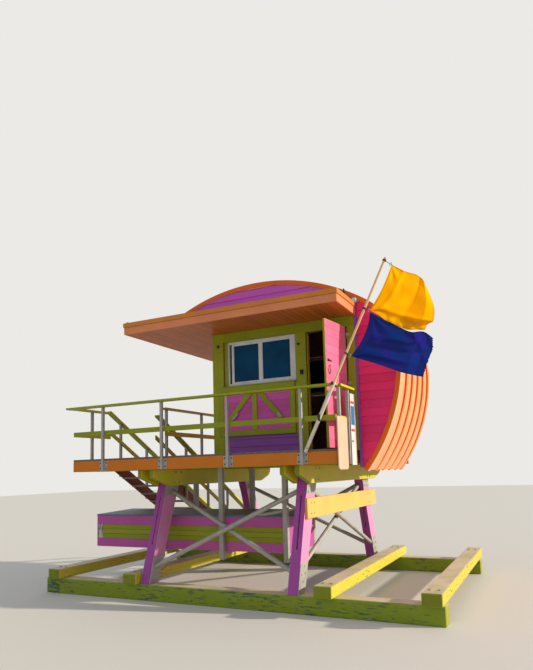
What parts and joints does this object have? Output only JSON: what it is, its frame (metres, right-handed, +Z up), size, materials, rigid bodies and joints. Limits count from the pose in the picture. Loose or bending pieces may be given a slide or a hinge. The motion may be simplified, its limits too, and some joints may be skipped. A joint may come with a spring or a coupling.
{
  "type": "lifeguard tower",
  "caption": "Timber lifeguard tower with an arched, ribbed cabin on a railed deck, raised on leaning legs and a sled of heavy timbers, with a stair, locker and flags.",
  "frame": {"origin": "on the ground under the middle of the tower's bounding box", "axes": "+X to the right along the front, +Y from the front to the seaward side, +Z up"},
  "size_m": [7.8492, 5.6189, 5.92],
  "materials": {
    "green_paint": "satin paint",
    "purple_paint": "satin paint",
    "crimson_paint": "satin paint",
    "orange_paint": "satin paint",
    "peach_paint": "satin paint",
    "amber_paint": "satin paint",
    "brown_paint": "worn paint",
    "slate_paint": "worn paint",
    "pink_paint": "satin paint",
    "deck_boards": "weathered",
    "plywood": "worn",
    "galvanised_steel": "dull galvanised",
    "white_vinyl": "satin",
    "window_glass": "clear",
    "pole_wood": "varnished",
    "yellow_cloth": "woven",
    "navy_cloth": "woven",
    "cream_panel": "satin"
  },
  "bodies": {
    "tower": {"ground_sills": "green_paint", "sled_timbers": "green_paint", "front_left_leg": "purple_paint", "front_right_leg": "purple_paint", "rear_left_leg": "purple_paint", "rear_right_leg": "purple_paint", "leg_plates": "galvanised_steel", "leg_braces": "galvanised_steel", "deck_beams": "green_paint", "deck_joists": "green_paint", "deck_rims": "orange_paint", "deck_floor": "deck_boards", "stair_stringers": "brown_paint", "stair_treads": "brown_paint", "stair_rails": "green_paint", "front_rail": "green_paint", "side_rails": "green_paint", "rear_rails": "green_paint", "locker_box": "purple_paint", "locker_lid": "slate_paint", "locker_hangers": "galvanised_steel", "sign_board": "amber_paint", "cabin_floor": "plywood", "window_wall": "purple_paint", "corner_wall": "crimson_paint", "front_trim": "green_paint", "window_shutter": "purple_paint", "window_frames": "white_vinyl", "window_glass": "window_glass", "door_hinges": "galvanised_steel", "front_gable": "purple_paint", "left_wall": "purple_paint", "rear_wall": "crimson_paint", "roof_shell": "peach_paint", "shoulder_shell": "peach_paint", "side_shell": "peach_paint", "shell_ribs": "orange_paint", "arch_trims": "orange_paint", "porch_roof": "orange_paint", "flagpole": "pole_wood", "yellow_flag": "yellow_cloth", "navy_flag": "navy_cloth", "rail_panel": "cream_panel", "notice_board": "white_vinyl"},
    "door": {"cabin_door": "pink_paint"}
  },
  "joints": [
    {"name": "door_hinge", "type": "hinge", "parent": "tower", "child": "door", "pos_m": [2.2034, -1.4735, 2.6], "axis": [0, 0, 1], "range_deg": [-82, 6]}
  ]
}
